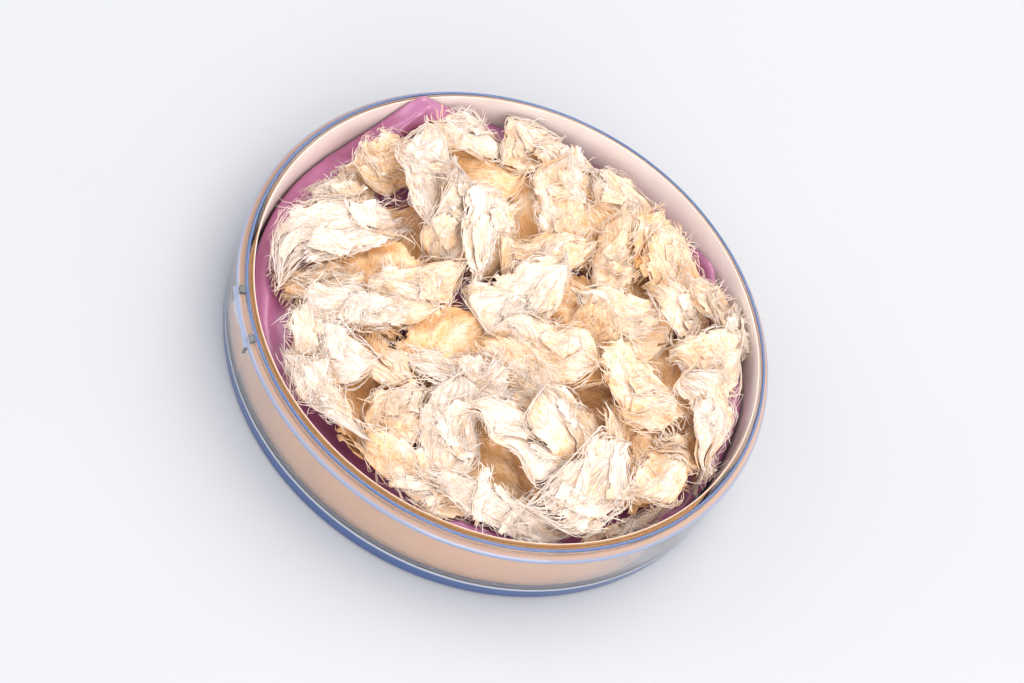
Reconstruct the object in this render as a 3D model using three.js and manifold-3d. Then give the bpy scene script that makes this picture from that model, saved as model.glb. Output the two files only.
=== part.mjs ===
// A round clear box of edible bird's nest: torn shreds of nest heaped on satin inside a card ring.
// Millimetres, +Z up, the origin in the middle of the box's underside.
import * as THREE from "three";
import Module from "manifold-3d";

const wasm = await Module();
wasm.setup();

// The clear box is a round tray whose wall steps in to a neck for a lid.
const BOX_RADIUS = 80;
const BORE_RADIUS = 77;
const NECK_RADIUS = 77.9;
const NECK_HEIGHT = 26.1;
const LEDGE_HEIGHT = 24.3;
const FLOOR_HEIGHT = 4.6;
const FOOT_HEIGHT = 2.2;
const FOOT_WIDTH = 5;
const EDGE_BREAK = 0.6;
const ROUND_SEGMENTS = 56;

// Two small moulded catches stand on the ledge against the neck, with a thumb tab on the wall under them.
const CATCH_ANGLES = [-147.3, -135.8];
const CATCH_RADIUS = 78.6;
const CATCH_SIZE = { radial: 1.8, around: 2.4, tall: 2.2 };
const TAB_ANGLE = -141.6;
const TAB_RADIUS = 79.7;
const TAB_HEIGHT = 22;
const TAB_SIZE = { radial: 1.4, around: 19.5, tall: 3.4 };

// A strip of card stands inside the wall as a ring.
const CARD_RADIUS = 75.5;
const CARD_THICKNESS = 0.5;
const CARD_TOP = 26.3;
const GAP = 0.4;

// The satin is bunched in the bottom of the ring. Each fold is a soft ridge of the cloth.
const SATIN_RADIUS = 74.9;
const SATIN_EDGE_HEIGHT = 15;
const SATIN_MIDDLE_SAG = 3;
const SATIN_SEGMENTS = 36;
const SATIN_RINGS = [74.9, 71, 65, 57, 44, 24];
const SATIN_FOLDS = [
  { x: -52, y: 50, heading: 40, length: 17, width: 5, height: 7 },
  { x: 46, y: 55, heading: -48, length: 9, width: 4, height: 6 },
  { x: 71, y: 14, heading: 98, length: 10, width: 4, height: 5 },
  { x: 22, y: -69, heading: 16, length: 15, width: 4, height: 4 },
  { x: -22, y: -70, heading: -18, length: 14, width: 5, height: 3 },
  { x: -62, y: -38, heading: -58, length: 14, width: 6, height: 2 },
];

// A shred is a torn flake of nest. These shares shape its grid of points.
const SHRED_SEGMENTS = { along: 6, across: 4 };
const LOWER_SKIN = 5;
const SHRED_THICKNESS = 2.3;
const EDGE_THINNING = 0.62;
const ROOT_THINNING = 0.3;
const THINNEST_SHARE = 0.28;
const RAGGED_TIP = 0.09;
const RAGGED_SIDE = 0.12;
const RIDGE_HEIGHT = 0.9;
const BEND_SHARE = 0.6;
const LEAST_BEND = 9;

// Waves along and across a shred, in radians. Each shred starts them at its own phase.
const PHASE_STEP = 2.4;
const SIDE_WAVE = { along: 7, across: 2 };
const TIP_WAVE = { across: 4.2, phase: 1.7 };
const RIDGE_WAVE = { along: 0.8, across: 2.6 };

// Where a shred would reach the card it is pressed back, softly, to stay inside it.
const PRESS_START = 60;
const PRESS_LIMIT = 74.7;

// The heap is measured on square cells while the shreds are laid on it one by one.
const CELL = 1;
const CELLS_ACROSS = 160;
const LAYING_GAP = 0.4;
const LIFT_STEP = 0.3;
const SETTLE_TURNS = [-8, 0, 8];
const SAG_SHARE = 0.9;
const SAG_REACH = [[0, 0], [2, 0], [-2, 0], [0, 2], [0, -2]];
const SPOT_ROW = 100;
const SPOTS_AROUND = [0, 0, 1, -1, SPOT_ROW, -SPOT_ROW];
const TOUCHING_VOLUME = 0.002;
const SMALLEST_AREA = 1e-6;
const ROUNDING = 1e-6;
const CORNERS_PER_MM = 1000;

// Each shred from the bottom of the heap up: middle x and y, heading of its frayed tip, length, width,
// rise of the tip, lean to its right, cup across (edges down above zero, hollow below) and outline.
const LOWER_SHREDS = [
  [-32, 8, -91, 30, 26, 4, -8, -30, "petal"],
  [-38, -15, -50, 30, 24, -6, 8, -24, "petal"],
  [-16, 34, -46, 32, 24, 6, 10, -36, "petal"],
  [-32, 41, 20, 28, 22, -6, 8, -28, "petal"],
  [6, 47, 155, 32, 26, -6, 8, 30, "petal"],
  [29, 36, 117, 32, 26, 4, -6, -26, "petal"],
  [13, 13, -34, 32, 26, -6, 8, 28, "petal"],
  [-21, -54, -42, 30, 22, 6, -12, -40, "petal"],
  [-9, -22, 70, 34, 28, -6, 10, -26, "petal"],
  [27, -13, 40, 34, 26, 8, -8, -34, "petal"],
  [50, 3, -51, 32, 24, -6, 14, -40, "petal"],
  [53, -25, -10, 30, 24, 6, -10, -26, "petal"],
  [15, -46, -13, 30, 24, 4, 10, -30, "petal"],
];
const UPPER_SHREDS = [
  [-52, -26, -133, 28, 20, -8, 10, 24, "fan"],
  [-60, 12, -101, 31, 21, -6, 8, 22, "fan"],
  [-55, -8, -128, 46, 27, -6, -6, 18, "fan"],
  [-54, 27, -121, 26, 19, 8, -14, -56, "petal"],
  [-41, 48, 23, 26, 19, -8, 12, 30, "petal"],
  [-22, 59, 92, 26, 18, 16, 6, 20, "fan"],
  [-40, 23, -58, 34, 16, 6, -16, 34, "strap"],
  [-27, 15, -82, 26, 15, -10, 16, 36, "strap"],
  [-18, 19, -88, 30, 18, 8, -10, 34, "petal"],
  [-26, -11, -119, 28, 19, -6, 12, 30, "fan"],
  [-4, 61, -1, 26, 18, -8, 8, 34, "petal"],
  [-3, 42, 122, 28, 15, 12, -14, 30, "strap"],
  [14, 59, -6, 25, 18, 8, 12, -30, "petal"],
  [19, 36, 103, 26, 15, 14, -18, 56, "petal"],
  [28, 49, 80, 25, 16, 8, 8, 34, "petal"],
  [37, 41, -24, 26, 20, -6, 6, 28, "petal"],
  [1, 23, -128, 28, 18, 8, 10, 34, "fan"],
  [1, 6, -114, 31, 22, -6, -8, 28, "fan"],
  [29, 16, 3, 28, 20, 8, 10, -28, "fan"],
  [46, 28, 160, 24, 17, 0, -4, 20, "petal"],
  [54, 39, 20, 23, 17, -4, 4, 14, "fan"],
  [62, 33, 72, 26, 12, 6, 4, 10, "fan"],
  [25, 0, -67, 25, 14, 14, 24, -44, "strap"],
  [13, -8, 14, 29, 20, -6, -10, 30, "fan"],
  [12, -21, -18, 28, 12, 6, 14, 26, "strap"],
  [-4, -30, 6, 29, 17, -8, -8, 26, "fan"],
  [-28, -39, 175, 29, 18, -6, 12, 30, "fan"],
  [-40, -31, -156, 31, 18, -8, 10, 32, "fan"],
  [-39, -48, -167, 27, 20, -8, -6, 26, "fan"],
  [-32, -61, 170, 30, 16, -6, 8, 18, "fan"],
  [-12, -52, 82, 21, 17, 10, 6, 40, "petal"],
  [0, -65, 2, 34, 15, -6, 10, 24, "fan"],
  [1, -48, -70, 28, 16, -8, 12, 34, "strap"],
  [18, -39, -5, 27, 19, 6, -8, 28, "fan"],
  [24, -62, 6, 37, 14, -6, 8, 18, "fan"],
  [31, -32, -28, 29, 23, -8, -6, 46, "petal"],
  [47, -22, -49, 25, 19, -6, -18, -58, "petal"],
  [58, -46, 50, 28, 9, 6, 8, 16, "strap"],
  [43, -44, -94, 32, 25, -8, 4, 22, "fan"],
  [41, -6, -25, 27, 17, 2, 6, 24, "strap"],
  [58, 19, 30, 26, 18, -8, -8, 20, "fan"],
  [63, 1, -19, 24, 19, -4, 4, 18, "petal"],
  [60, -24, -99, 30, 17, -6, 8, 22, "fan"],
  [66, -11, -57, 24, 12, -8, -4, 14, "strap"],
];

// Widths of the three outlines along a shred, from its root at 0 to its frayed tip at 1.
const OUTLINES = {
  fan: (along) => 0.42 + 0.58 * Math.sin((Math.PI / 2) * Math.min(1, 1.15 * along)),
  petal: (along) => 0.5 + 0.5 * Math.sin(Math.PI * (0.1 + 0.8 * along)),
  strap: (along) => 0.76 + 0.24 * Math.sin(Math.PI * (0.2 + 0.6 * along)),
};

function radians(degrees) {
  return THREE.MathUtils.degToRad(degrees);
}

// A turned solid from a closed profile of radius and height pairs.
function turned(profile, segments) {
  const points = profile.map(([radius, height]) => new THREE.Vector2(radius, height));
  return new THREE.LatheGeometry(points, segments).rotateX(Math.PI / 2);
}

// The solid of a geometry: corners that share a place become one corner.
function solidOf(geometry) {
  const place = geometry.getAttribute("position");
  const order = geometry.index.array;
  const numbers = new Map();
  const corners = [];
  const cornerOf = [];
  for (let i = 0; i < place.count; i += 1) {
    const point = [place.getX(i), place.getY(i), place.getZ(i)];
    const key = point.map((value) => Math.round(value * CORNERS_PER_MM)).join();
    if (!numbers.has(key)) {
      numbers.set(key, numbers.size);
      corners.push(...point);
    }
    cornerOf.push(numbers.get(key));
  }
  const triangles = [];
  for (let i = 0; i < order.length; i += 3) {
    const [a, b, c] = [cornerOf[order[i]], cornerOf[order[i + 1]], cornerOf[order[i + 2]]];
    if (a !== b && b !== c && c !== a) triangles.push(a, b, c);
  }
  return new wasm.Manifold(
    new wasm.Mesh({
      numProp: 3,
      vertProperties: new Float32Array(corners),
      triVerts: new Uint32Array(triangles),
    }),
  );
}

// The geometry of a solid.
function geometryOf(solid) {
  const mesh = solid.getMesh();
  const geometry = new THREE.BufferGeometry();
  geometry.setAttribute("position", new THREE.BufferAttribute(mesh.vertProperties, 3));
  geometry.setIndex(new THREE.BufferAttribute(mesh.triVerts, 1));
  return geometry;
}

// A small block that faces outwards at a radius, height and angle.
function blockAt(size, radius, height, angle) {
  const block = new THREE.BoxGeometry(size.radial, size.around, size.tall);
  block.translate(radius, 0, height);
  return solidOf(block.rotateZ(radians(angle)));
}

function clearBox() {
  const footBore = BOX_RADIUS - FOOT_WIDTH;
  const tray = turned(
    [
      [0, FOOT_HEIGHT],
      [footBore, FOOT_HEIGHT],
      [footBore, 0],
      [BOX_RADIUS - EDGE_BREAK, 0],
      [BOX_RADIUS, EDGE_BREAK],
      [BOX_RADIUS, LEDGE_HEIGHT - EDGE_BREAK],
      [BOX_RADIUS - EDGE_BREAK, LEDGE_HEIGHT],
      [NECK_RADIUS, LEDGE_HEIGHT],
      [NECK_RADIUS, NECK_HEIGHT],
      [BORE_RADIUS, NECK_HEIGHT],
      [BORE_RADIUS, FLOOR_HEIGHT],
      [0, FLOOR_HEIGHT],
    ],
    ROUND_SEGMENTS,
  );
  let solid = solidOf(tray);
  for (const angle of CATCH_ANGLES) solid = solid.add(blockAt(CATCH_SIZE, CATCH_RADIUS, LEDGE_HEIGHT, angle));
  solid = solid.add(blockAt(TAB_SIZE, TAB_RADIUS, TAB_HEIGHT, TAB_ANGLE));
  return geometryOf(solid);
}

function cardRing() {
  const outer = CARD_RADIUS + CARD_THICKNESS;
  const bottom = FLOOR_HEIGHT + GAP;
  return turned(
    [
      [CARD_RADIUS, bottom],
      [outer, bottom],
      [outer, CARD_TOP],
      [CARD_RADIUS, CARD_TOP],
      [CARD_RADIUS, bottom],
    ],
    ROUND_SEGMENTS,
  );
}

// Height of the satin above the box's underside.
function satinHeight(x, y) {
  const share = Math.hypot(x, y) / SATIN_RADIUS;
  let height = SATIN_EDGE_HEIGHT - SATIN_MIDDLE_SAG * (1 - share * share);
  for (const fold of SATIN_FOLDS) {
    const turn = radians(fold.heading);
    const forward = ((x - fold.x) * Math.cos(turn) + (y - fold.y) * Math.sin(turn)) / fold.length;
    const sideways = ((y - fold.y) * Math.cos(turn) - (x - fold.x) * Math.sin(turn)) / fold.width;
    height += fold.height * Math.exp(-forward * forward - sideways * sideways);
  }
  return height;
}

function satinLining() {
  const bottom = FLOOR_HEIGHT + GAP;
  const profile = [[0, bottom], [SATIN_RADIUS, bottom]];
  for (const radius of SATIN_RINGS) profile.push([radius, SATIN_EDGE_HEIGHT]);
  profile.push([0, SATIN_EDGE_HEIGHT]);
  const cloth = turned(profile, SATIN_SEGMENTS);
  const place = cloth.getAttribute("position");
  for (let i = 0; i < place.count; i += 1) {
    if (place.getZ(i) > SATIN_EDGE_HEIGHT - GAP) place.setZ(i, satinHeight(place.getX(i), place.getY(i)));
  }
  return cloth;
}

// A point on an arc: how far forward and how far down after part of its length.
function onArc(distance, length, turnDegrees) {
  const turn = radians(turnDegrees);
  const radius = length / turn;
  const angle = distance / radius;
  return [radius * Math.sin(angle), radius * (1 - Math.cos(angle))];
}

// A slab of the shred's grid. The lower skin gets the diagonals of the upper one, so that the two
// skins of a bent shred never cross.
function shredSlab() {
  const slab = new THREE.BoxGeometry(1, 1, 1, SHRED_SEGMENTS.along, SHRED_SEGMENTS.across, 1);
  const order = slab.index.array;
  const lower = slab.groups[LOWER_SKIN];
  for (let i = lower.start; i < lower.start + lower.count; i += 6) {
    const [a, b, d, , c] = order.slice(i, i + 6);
    order.set([a, b, c, a, c, d], i);
  }
  return slab;
}

// One torn flake, flat on the origin: a slab drawn to its outline, ragged, ridged and cupped.
function flake(shred, number) {
  const [, , , length, width, , , cup, outline] = shred;
  const slab = shredSlab();
  const place = slab.getAttribute("position");
  const phase = number * PHASE_STEP;
  slab.userData.spots = [];
  for (let i = 0; i < place.count; i += 1) {
    const along = place.getX(i) + 0.5;
    const across = 2 * place.getY(i);
    const [column, row] = [along * SHRED_SEGMENTS.along, (across + 1) * SHRED_SEGMENTS.across / 2];
    slab.userData.spots.push(Math.round(column) * SPOT_ROW + Math.round(row));
    const skin = Math.sign(place.getZ(i));
    const fromMiddle = 2 * along - 1;
    const sideWave = Math.sin(SIDE_WAVE.along * along + SIDE_WAVE.across * across + phase);
    const tipWave = Math.sin(TIP_WAVE.across * across + TIP_WAVE.phase * phase);
    const ridgeWave = Math.sin(RIDGE_WAVE.along * along + RIDGE_WAVE.across * across + phase);
    const halfWidth = 0.5 * width * OUTLINES[outline](along) * (1 + RAGGED_SIDE * sideWave);
    const reach = length * (0.5 * fromMiddle + RAGGED_TIP * tipWave * fromMiddle);
    const [sideways, fallAcross] = onArc(across * halfWidth, width, cup);
    const [forward, fallAlong] = onArc(reach, length, BEND_SHARE * cup + LEAST_BEND);
    const thinned = 1 - EDGE_THINNING * across ** 2 - ROOT_THINNING * fromMiddle ** 4;
    const halfThickness = 0.5 * SHRED_THICKNESS * Math.max(thinned, THINNEST_SHARE);
    const middleHeight = RIDGE_HEIGHT * ridgeWave - fallAcross - fallAlong;
    place.setXYZ(i, forward, sideways, middleHeight + skin * halfThickness);
  }
  return slab;
}

// The flake turned to its heading, rise and lean, moved to its place and pressed inside the card.
function placed(shred, number, extraRise, extraLean) {
  const [x, y, heading, , , rise, lean] = shred;
  const geometry = flake(shred, number);
  geometry.rotateX(radians(lean + extraLean));
  geometry.rotateY(-radians(rise + extraRise));
  geometry.rotateZ(radians(heading));
  geometry.translate(x, y, 0);
  const place = geometry.getAttribute("position");
  const room = PRESS_LIMIT - PRESS_START;
  for (let i = 0; i < place.count; i += 1) {
    const radius = Math.hypot(place.getX(i), place.getY(i));
    if (radius > PRESS_START) {
      const pressed = PRESS_START + room * Math.tanh((radius - PRESS_START) / room);
      place.setX(i, (place.getX(i) * pressed) / radius);
      place.setY(i, (place.getY(i) * pressed) / radius);
    }
  }
  return geometry;
}

// Calls visit with each cell under a geometry's triangles and the height of the triangle there.
function overCells(geometry, visit) {
  const place = geometry.getAttribute("position");
  const order = geometry.index.array;
  const corner = [new THREE.Vector3(), new THREE.Vector3(), new THREE.Vector3()];
  const weight = new THREE.Vector3();
  const spot = new THREE.Vector3();
  const middle = CELLS_ACROSS / 2;
  for (let i = 0; i < order.length; i += 3) {
    corner.forEach((point, k) => point.fromBufferAttribute(place, order[i + k]));
    const [a, b, c] = corner;
    const heights = [a.z, b.z, c.z];
    const flat = new THREE.Triangle(a.clone().setZ(0), b.clone().setZ(0), c.clone().setZ(0));
    if (flat.getArea() < SMALLEST_AREA) continue;
    const firstColumn = Math.floor(Math.min(a.x, b.x, c.x) / CELL + middle);
    const lastColumn = Math.ceil(Math.max(a.x, b.x, c.x) / CELL + middle);
    const firstRow = Math.floor(Math.min(a.y, b.y, c.y) / CELL + middle);
    const lastRow = Math.ceil(Math.max(a.y, b.y, c.y) / CELL + middle);
    for (let row = firstRow; row <= lastRow; row += 1) {
      for (let column = firstColumn; column <= lastColumn; column += 1) {
        spot.set((column - middle) * CELL, (row - middle) * CELL, 0);
        flat.getBarycoord(spot, weight);
        if (Math.min(weight.x, weight.y, weight.z) < -ROUNDING) continue;
        const height = weight.x * heights[0] + weight.y * heights[1] + weight.z * heights[2];
        visit(row * CELLS_ACROSS + column, height);
      }
    }
  }
}

// Lets a shred sag onto the heap: its points follow the heap below them, both skins together.
function sag(heapTop, geometry) {
  const place = geometry.getAttribute("position");
  const spots = geometry.userData.spots;
  const middle = CELLS_ACROSS / 2;
  const below = new Map();
  for (let i = 0; i < place.count; i += 1) {
    const column = Math.round(place.getX(i) / CELL + middle);
    const row = Math.round(place.getY(i) / CELL + middle);
    for (const [aside, ahead] of SAG_REACH) {
      const height = heapTop[(row + ahead) * CELLS_ACROSS + column + aside];
      below.set(spots[i], Math.max(below.get(spots[i]) ?? 0, height));
    }
  }
  const softened = (spot) => {
    const near = SPOTS_AROUND.map((step) => below.get(spot + step)).filter((height) => height !== undefined);
    return near.reduce((sum, height) => sum + height, 0) / near.length;
  };
  for (let i = 0; i < place.count; i += 1) {
    place.setZ(i, place.getZ(i) + SAG_SHARE * softened(spots[i]));
  }
  return geometry;
}

// How far a geometry must be raised to lie on the heap.
function raiseOnto(heapTop, geometry) {
  let raise = -Infinity;
  overCells(geometry, (cell, height) => {
    raise = Math.max(raise, heapTop[cell] - height);
  });
  return raise + LAYING_GAP;
}

function highest(geometry) {
  geometry.computeBoundingBox();
  return geometry.boundingBox.max.z;
}

// Lays the shreds one by one: each settles to the lowest of a few tilts, clear of those below it.
function layHeap(shreds, satin) {
  const heapTop = new Float32Array(CELLS_ACROSS * CELLS_ACROSS);
  const cover = (geometry) =>
    overCells(geometry, (cell, height) => {
      heapTop[cell] = Math.max(heapTop[cell], height);
    });
  cover(satin);
  const solids = [solidOf(satin)];
  return shreds.map((shred, number) => {
    let lowest = null;
    for (const extraRise of SETTLE_TURNS) {
      for (const extraLean of SETTLE_TURNS) {
        const tried = sag(heapTop, placed(shred, number, extraRise, extraLean));
        const raise = raiseOnto(heapTop, tried);
        const top = raise + highest(tried);
        if (!lowest || top < lowest.top) lowest = { tried, raise, top };
      }
    }
    const geometry = lowest.tried.translate(0, 0, lowest.raise);
    const touches = () => {
      const solid = solidOf(geometry);
      return solids.some((other) => solid.intersect(other).volume() > TOUCHING_VOLUME);
    };
    while (touches()) geometry.translate(0, 0, LIFT_STEP);
    cover(geometry);
    solids.push(solidOf(geometry));
    return geometry;
  });
}

function named(name, geometry, look) {
  const mesh = new THREE.Mesh(geometry, new THREE.MeshStandardMaterial({ metalness: 0, ...look }));
  mesh.name = name;
  return mesh;
}

const CLEAR_LOOK = { color: 0xdfe8f6, roughness: 0.08, transparent: true, opacity: 0.4 };
const CARD_LOOK = { color: 0xe6cdbd, roughness: 0.8 };
const SATIN_LOOK = { color: 0xbb7596, roughness: 0.4 };
const PALE_LOOK = { color: 0xf3e6d8, roughness: 0.65 };
const GOLDEN_LOOK = { color: 0xe8c48a, roughness: 0.65 };

const part = new THREE.Group();
const satin = satinLining();
part.add(named("clear_box", clearBox(), CLEAR_LOOK));
part.add(named("card_ring", cardRing(), CARD_LOOK));
part.add(named("satin_lining", satin, SATIN_LOOK));
const shreds = [...LOWER_SHREDS, ...UPPER_SHREDS];
layHeap(shreds, satin).forEach((geometry, number) => {
  const look = number < LOWER_SHREDS.length ? GOLDEN_LOOK : PALE_LOOK;
  part.add(named("nest_shred_" + String(number + 1).padStart(2, "0"), geometry, look));
});

export default part;
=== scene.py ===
# %% [markdown]
# # A round clear box of edible bird's nest
# This lesson dresses the plain solids of a round display box until they look like the real thing:
# a moulded clear tray, a ring of card, a bunched satin cloth and a heap of torn nest shreds.
# Everything is in metres, +Z is up, and the origin is the middle of the box's underside.

# %% Tools and the frame
import math
import bmesh
import bpy
import numpy as np
from mathutils import Matrix, Vector, noise
from mathutils.bvhtree import BVHTree


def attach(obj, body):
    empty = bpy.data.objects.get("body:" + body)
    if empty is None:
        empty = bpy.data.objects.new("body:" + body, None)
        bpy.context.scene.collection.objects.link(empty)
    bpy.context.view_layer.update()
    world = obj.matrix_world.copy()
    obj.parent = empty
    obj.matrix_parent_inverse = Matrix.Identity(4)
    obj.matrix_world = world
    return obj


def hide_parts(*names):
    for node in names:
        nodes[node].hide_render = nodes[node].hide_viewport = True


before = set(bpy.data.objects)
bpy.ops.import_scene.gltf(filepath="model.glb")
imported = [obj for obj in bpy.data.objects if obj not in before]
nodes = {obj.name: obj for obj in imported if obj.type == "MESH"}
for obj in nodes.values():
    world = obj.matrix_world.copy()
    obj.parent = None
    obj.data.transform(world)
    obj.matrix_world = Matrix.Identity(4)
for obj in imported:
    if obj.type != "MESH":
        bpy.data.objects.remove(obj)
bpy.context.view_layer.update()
MM = 0.001
print("solids in the frame:", len(nodes))

# %% [markdown]
# Colours are written the way a paint chart gives them and turned to the light values that the
# renderer counts in. One small function adds a shading node with its settings and its links, so
# that a finish reads as a short list of what it is made of.

# %% Colours and finishes
def paint(code):
    """Linear red, green, blue and alpha of a chart colour such as f3e6d8."""
    parts = [int(code[i:i + 2], 16) / 255 for i in (0, 2, 4)]
    linear = [c / 12.92 if c <= 0.04045 else ((c + 0.055) / 1.055) ** 2.4 for c in parts]
    return (*linear, 1.0)


def add(finish, kind, settings=None, stops=None, **inputs):
    """A shading node of that kind. Stops are a ramp's (place, colour code) pairs.

    An input is a value or another node's output, and one named in9 is the socket of that number.
    """
    made = finish.node_tree.nodes.new("ShaderNode" + kind)
    for name, value in (settings or {}).items():
        setattr(made, name, value)
    if stops:
        band = made.color_ramp.elements
        while len(band) < len(stops):
            band.new(0.5)
        for stop, (place, code) in zip(band, stops):
            stop.position, stop.color = place, paint(code)
    for name, value in inputs.items():
        numbered = name[:2] == "in" and name[2:].isdigit()
        key = int(name[2:]) if numbered else name.replace("_", " ")
        if isinstance(value, bpy.types.NodeSocket):
            finish.node_tree.links.new(value, made.inputs[key])
        else:
            made.inputs[key].default_value = value
    return made


def new_finish(name):
    """A material of that name with no nodes yet."""
    finish = bpy.data.materials.new(name)
    finish.use_nodes = True
    finish.node_tree.nodes.clear()
    return finish


# %% [markdown]
# A finished piece is one object at the origin, with its place in its mesh. It rides on the box's
# one body, the plain solid it dresses is hidden, and it takes the finish that it is given.

# %% Finishing a piece
def held_mesh(name, form):
    """An object in the scene that holds the form as its mesh."""
    mesh = bpy.data.meshes.new(name)
    form.to_mesh(mesh)
    form.free()
    holder = bpy.data.objects.new(name, mesh)
    bpy.context.scene.collection.objects.link(holder)
    return holder


def finished(name, form, finish, solid):
    """The piece of that name, which takes the place of the plain solid."""
    piece = held_mesh(name, form)
    mesh = piece.data
    mesh.materials.append(finish)
    mesh.polygons.foreach_set("use_smooth", [True] * len(mesh.polygons))
    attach(piece, "root")
    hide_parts(solid)
    print(name, "has", len(mesh.polygons), "faces")
    return piece


# %% [markdown]
# The tray is moulded from clear styrene. A mould leaves every edge slightly round, and those
# round edges catch the bright lines that make clear plastic readable. So the half section is drawn
# as one flat face, its corners are rounded, and its outline is spun once round the axis.

# %% The clear tray's form
TURN_STEPS = 160
BOX_OUT, NECK_OUT, NECK_IN, FOOT_IN = 80, 77.9, 77, 75
RECESS, FLOOR_TOP, LEDGE, WALL_TOP = 2.2, 4.6, 24.3, 26.1
FOOT_BLUE, FOOT_CLEAR = 5.3, 6.4
TRAY_SECTION = [  # radius, height and rounding of each corner, in millimetres
    (0, RECESS, 0), (FOOT_IN, RECESS, 0.3), (FOOT_IN, 0, 0.4), (BOX_OUT, 0, 1.8),
    (BOX_OUT, FOOT_BLUE, 0), (BOX_OUT, FOOT_CLEAR, 0), (BOX_OUT, LEDGE, 1.2),
    (NECK_OUT, LEDGE, 0.25), (NECK_OUT, WALL_TOP, 0.35), (NECK_IN, WALL_TOP, 0.35),
    (NECK_IN, FLOOR_TOP, 0.5), (0, FLOOR_TOP, 0),
]


def spun(section, steps):
    """A turned solid from (radius, height, rounding) in millimetres."""
    form = bmesh.new()
    corners = [form.verts.new((radius * MM, 0, height * MM)) for radius, height, _ in section]
    form.faces.new(corners)
    for corner, (_, _, rounding) in zip(corners, section):
        if rounding:
            bmesh.ops.bevel(form, geom=[corner], offset=rounding * MM, segments=3, profile=0.5,
                            affect="VERTICES", material=-1)
    bmesh.ops.delete(form, geom=form.faces[:], context="FACES_ONLY")
    on_axis = [e for e in form.edges if all(v.co.x < 1e-6 for v in e.verts)]
    bmesh.ops.delete(form, geom=on_axis, context="EDGES")
    bmesh.ops.spin(form, geom=form.verts[:] + form.edges[:], axis=(0, 0, 1), cent=(0, 0, 0),
                   angle=2 * math.pi, steps=steps, use_merge=True)
    bmesh.ops.remove_doubles(form, verts=form.verts[:], dist=1e-6)
    bmesh.ops.recalc_face_normals(form, faces=form.faces[:])
    return form


tray_form = spun(TRAY_SECTION, TURN_STEPS)
print("tray outline spun into", len(tray_form.faces), "faces")

# %% [markdown]
# Two small catches for the lid stand on the ledge, and a thumb tab is moulded on the wall below
# them. Each is a little block with broken edges. They are joined to the tray as one solid, because
# a clear solid with walls inside it would show them.

# %% The catches and the tab
CATCH, TAB, EDGE_BREAK = (1.8, 2.4, 2.2), (1.4, 19.5, 3.4), 0.25
BLOCKS = [  # size outwards, around and up, then the radius, height and turn of its middle
    (CATCH, 78.6, LEDGE, -147.3), (CATCH, 78.6, LEDGE, -135.8), (TAB, 79.7, 22.0, -141.6),
]
holders = [held_mesh("tray_alone", tray_form)]
for size, out, height, turn in BLOCKS:
    block = bmesh.new()
    bmesh.ops.create_cube(block, size=1)
    bmesh.ops.scale(block, verts=block.verts[:], vec=Vector(size) * MM)
    bmesh.ops.bevel(block, geom=block.edges[:], offset=EDGE_BREAK * MM, segments=2, profile=0.5,
                    affect="EDGES", material=-1)
    turned = Matrix.Rotation(math.radians(turn), 4, "Z")
    place = turned @ Matrix.Translation((out * MM, 0, height * MM))
    bmesh.ops.transform(block, matrix=place, verts=block.verts[:])
    holders.append(held_mesh("block", block))
    join = holders[0].modifiers.new("join", "BOOLEAN")
    join.operation, join.solver, join.object = "UNION", "EXACT", holders[-1]
as_joined = holders[0].evaluated_get(bpy.context.evaluated_depsgraph_get())
joined = bpy.data.meshes.new_from_object(as_joined)
tray_form = bmesh.new()
tray_form.from_mesh(joined)
for holder in holders:
    bpy.data.meshes.remove(holder.data)
bpy.data.meshes.remove(joined)
print("tray with catches and tab has", len(tray_form.faces), "faces")

# %% [markdown]
# Clear styrene bends light more than water does and takes a faint blue over a long way. Its skin is
# polished by the mould, with slow streaks where the melt flowed. The blue is inside the plastic, so
# it is worked out along the way that the light goes and not painted on.

# %% Clear moulded styrene
STYRENE_IOR, STYRENE_TINT, TINT_DENSITY, FLOW_STREAK = 1.57, "3f78f0", 10.0, 15


def close_styrene(finish, colour, roughness, clearness):
    """Ends a styrene finish with a polished skin round a faintly blue inside."""
    skin = add(finish, "BsdfPrincipled", Base_Color=colour, Roughness=roughness, IOR=STYRENE_IOR,
               Transmission_Weight=clearness)
    inside = add(finish, "VolumeAbsorption", Color=paint(STYRENE_TINT), Density=TINT_DENSITY)
    add(finish, "OutputMaterial", Surface=skin.outputs[0], Volume=inside.outputs[0])


# Injection-moulded polystyrene: see-through, with a hard bright shine and hardly any colour.
clear_styrene = new_finish("clear_moulded_styrene")
spot = add(clear_styrene, "TexCoord").outputs["Object"]
flow = add(clear_styrene, "TexNoise", Vector=spot, Scale=1 / (FLOW_STREAK * MM), Detail=2.0)
clear = add(clear_styrene, "ValToRGB", stops=[(0.3, "fbfcff"), (0.7, "ffffff")],
            Fac=flow.outputs["Fac"])
close_styrene(clear_styrene, clear.outputs["Color"], 0.03, 0.93)
print("finish", clear_styrene.name, "bends light by", STYRENE_IOR)

# %% [markdown]
# Along the foot, the ledge's corner and the neck's rim the light comes out that has run through the
# wall from end to end, so those rounded edges look blue and a little milky. A renderer would need
# very many bounces to find that light. So that light is painted: the edges of the one solid have a
# finish of their own, with a painted blue glow and pale painted highlight lines that go by height.

# %% Edge-lit styrene
# Painted light up the wall: a blue glow at the foot and the rim, and pale highlight lines above the
# foot and at the ledge's corner. The ledge itself is painted peach.
PAINTED_GLOW_BANDS = [  # share of the wall's height, and the colour that shows there
    (0.0, "35589c"), (0.2, "5474b0"), (0.21, "e6ecf8"), (0.88, "a9b9dc"), (0.92, "b9c6e6"),
    (0.93, "e0b394"), (0.97, "5f7fb8"),
]
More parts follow.
